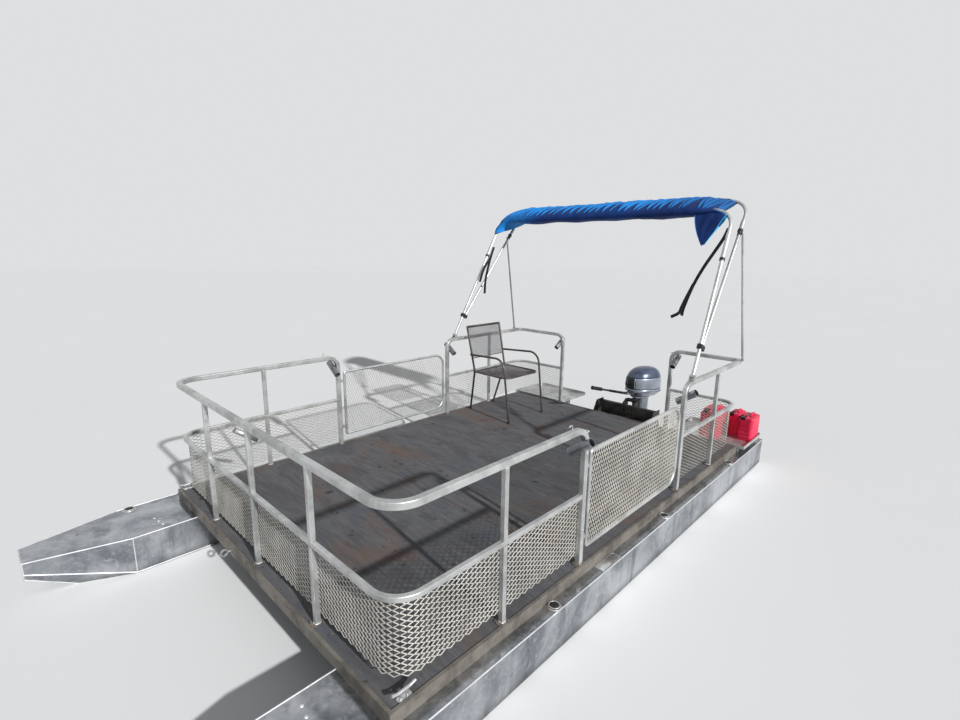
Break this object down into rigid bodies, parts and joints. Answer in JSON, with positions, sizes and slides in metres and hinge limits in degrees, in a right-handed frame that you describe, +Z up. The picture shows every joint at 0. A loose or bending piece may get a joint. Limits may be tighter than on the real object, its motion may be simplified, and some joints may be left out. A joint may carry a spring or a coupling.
{
  "type": "pontoon boat",
  "caption": "Small pontoon boat with a plywood deck, mesh fence with side gates, folded canvas top, tiller outboard, chair and fuel tanks.",
  "frame": {"origin": "under the middle of the hull, on the surface that the pontoon bottoms stand on", "axes": "+X points to the bow, +Y to port, +Z up; the boat floats with the water 0.267 m above the origin"},
  "size_m": [5.023, 2.574, 2.6225],
  "materials": {
    "hull": "weathered bare metal, dull, water stained below",
    "rail": "satin, lightly weathered tube",
    "fittings": "cast and sheet fittings, dull",
    "mesh": "expanded sheet, silvery",
    "deck": "weathered dark plywood, stained",
    "canvas": "blue boat canvas, gathered",
    "cowl": "blue-grey gloss paint",
    "motor_dark": "dark grey paint",
    "rubber": "matt black",
    "black_plastic": "black moulded plastic",
    "chair": "dark powder coat",
    "fuel_red": "red moulded tank",
    "steel": "bright pins and bolts"
  },
  "bodies": {
    "hull": {"pontoon_port": "hull", "pontoon_starboard": "hull", "inspection_ports": "black_plastic", "deck_beams": "fittings", "deck_trim": "rail", "deck_panels": "deck", "bow_top_rail": "rail", "bow_mid_rail": "rail", "bow_posts": "rail", "post_feet": "fittings", "bow_mesh": "mesh", "stern_rail_port": "rail", "stern_rail_starboard": "rail", "stern_mid_rail_port": "rail", "stern_mid_rail_starboard": "rail", "stern_mesh_port": "mesh", "stern_mesh_starboard": "mesh", "gate_hinge_pins": "steel", "rod_holders": "fittings", "bow_cleats": "fittings", "bow_eye_bolt": "steel", "stern_shelf_port": "rail", "stern_shelf_starboard": "rail", "motor_bracket": "fittings", "motor_clamp": "motor_dark", "top_mounts": "fittings", "top_strut_brackets": "fittings", "chair_frame": "chair", "chair_mesh": "chair", "fuel_tank_outer": "fuel_red", "fuel_tank_inner": "fuel_red", "fuel_tank_middle": "fuel_red", "fuel_caps": "black_plastic"},
    "gate_port": {"gate_frame_port": "rail", "gate_mesh_port": "mesh"},
    "gate_starboard": {"gate_frame_starboard": "rail", "gate_mesh_starboard": "mesh"},
    "motor_tilting": {"motor_swivel": "motor_dark"},
    "motor_steering": {"motor_leg": "cowl", "motor_gearcase": "cowl", "motor_pan": "motor_dark", "motor_cowl": "cowl"},
    "tiller": {"motor_tiller": "rubber"},
    "screw": {"propeller": "motor_dark"},
    "top": {"top_main_hoop": "rail", "top_second_hoop": "rail", "top_hoop_clamps": "black_plastic", "top_canvas_boot": "canvas", "top_strut_studs": "black_plastic", "top_hoop_sleeves": "rail", "top_sleeve_collars": "black_plastic"},
    "strut_port": {"top_strut_port": "rail"},
    "strut_starboard": {"top_strut_starboard": "rail"}
  },
  "joints": [
    {"name": "gate_port_swing", "type": "hinge", "parent": "hull", "child": "gate_port", "pos_m": [0.397, 1.189, 0.9], "axis": [0, 0, 1], "range_deg": [0, 90]},
    {"name": "gate_starboard_swing", "type": "hinge", "parent": "hull", "child": "gate_starboard", "pos_m": [0.397, -1.189, 0.9], "axis": [0, 0, -1], "range_deg": [0, 90]},
    {"name": "motor_tilt", "type": "hinge", "parent": "hull", "child": "motor_tilting", "pos_m": [-2.199, 0.11, 0.684], "axis": [0, 1, 0], "range_deg": [0, 62]},
    {"name": "motor_steer", "type": "hinge", "parent": "motor_tilting", "child": "motor_steering", "pos_m": [-2.257, 0.11, 0.57], "axis": [0, 0, 1], "range_deg": [-20, 70]},
    {"name": "tiller_lift", "type": "hinge", "parent": "motor_steering", "child": "tiller", "pos_m": [-2.15368, 0.06182, 0.758], "axis": [-0.4226, -0.9063, 0], "range_deg": [0, 75]},
    {"name": "propeller_spin", "type": "hinge", "parent": "motor_steering", "child": "screw", "pos_m": [-2.46273, 0.20593, 0.125], "axis": [0.9063, -0.4226, 0], "continuous": true},
    {"name": "top_fold", "type": "hinge", "parent": "hull", "child": "top", "pos_m": [-0.893, 0, 1.356], "axis": [0, -1, 0], "range_deg": [0, 48]},
    {"name": "strut_port_swing", "type": "hinge", "parent": "hull", "child": "strut_port", "pos_m": [-1.842, 1.216, 1.346], "axis": [0, 1, 0], "range_deg": [0, 60]},
    {"name": "strut_starboard_swing", "type": "hinge", "parent": "hull", "child": "strut_starboard", "pos_m": [-1.842, -1.216, 1.346], "axis": [0, 1, 0], "range_deg": [0, 60]}
  ],
  "couplings": [
    {"joint": "tiller_lift", "follows": "motor_tilt", "ratio": 1},
    {"joint": "strut_port_swing", "follows": "top_fold", "ratio": 1.25},
    {"joint": "strut_starboard_swing", "follows": "top_fold", "ratio": 1.25}
  ]
}
